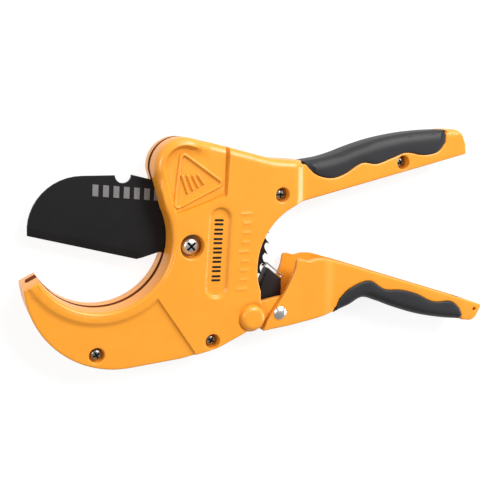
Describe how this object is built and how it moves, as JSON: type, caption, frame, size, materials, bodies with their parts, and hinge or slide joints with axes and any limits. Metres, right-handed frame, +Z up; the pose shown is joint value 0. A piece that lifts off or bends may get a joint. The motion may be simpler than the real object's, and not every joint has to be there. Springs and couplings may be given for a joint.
{
  "type": "ratcheting plastic pipe cutter",
  "caption": "Ratcheting hand cutter for plastic pipe: orange two-part casing with a hooked jaw, black blade, pawl-driven moving handle and black grips.",
  "frame": {"origin": "middle of the tool's footprint, on the surface that it lies on, with the back shell down and the handles and blade open", "axes": "+X from the jaw towards the handle ends, +Y from the moving handle towards the fixed handle, +Z up through the thickness from the back shell to the front shell"},
  "size_m": [0.2813, 0.1215, 0.0274],
  "materials": {
    "orange_paint": "glossy orange-yellow powder paint on die-cast aluminium",
    "black_grip": "soft satin black elastomer",
    "blade_coating": "matt black non-stick coating on hardened steel",
    "plated_steel": "zinc-plated steel",
    "blackened_steel": "blackened steel, satin",
    "bronze": "sintered bronze"
  },
  "bodies": {
    "casing_body": {"front_shell": "orange_paint", "rear_shell": "orange_paint", "fixed_grip": "black_grip", "blade_pivot_screw": "plated_steel", "blade_pivot_nut": "plated_steel", "spring_washer": "plated_steel", "thrust_washer_front": "plated_steel", "thrust_washer_rear": "plated_steel", "handle_pivot_pin": "plated_steel", "handle_return_spring": "plated_steel", "housing_screw_1": "plated_steel", "housing_screw_2": "plated_steel", "housing_screw_3": "plated_steel", "housing_screw_4": "plated_steel"},
    "blade_body": {"blade": "blade_coating", "blade_bushing": "bronze"},
    "handle_body": {"moving_handle": "orange_paint", "moving_grip": "black_grip", "handle_bush_front": "bronze", "handle_bush_rear": "bronze", "pawl_rivet": "plated_steel"},
    "pawl_body": {"pawl": "blackened_steel", "pawl_spring": "plated_steel"}
  },
  "joints": [
    {"name": "blade_swing", "type": "hinge", "parent": "casing_body", "child": "blade_body", "pos_m": [-0.05425, 0.00185, 0.0105], "axis": [0, 0, 1], "range_deg": [0, 42]},
    {"name": "handle_swing", "type": "hinge", "parent": "casing_body", "child": "handle_body", "pos_m": [-0.02005, -0.04085, 0.0125], "axis": [0, 0, 1], "range_deg": [0, 30], "stiffness_Nm_per_rad": 0.4, "springref_deg": -5.73},
    {"name": "pawl_swing", "type": "hinge", "parent": "handle_body", "child": "pawl_body", "pos_m": [-0.00275, -0.03995, 0.0113], "axis": [0, 0, 1], "range_deg": [-60.5, 0]}
  ],
  "couplings": [
    {"joint": "pawl_swing", "follows": "handle_swing", "ratio": -2}
  ]
}
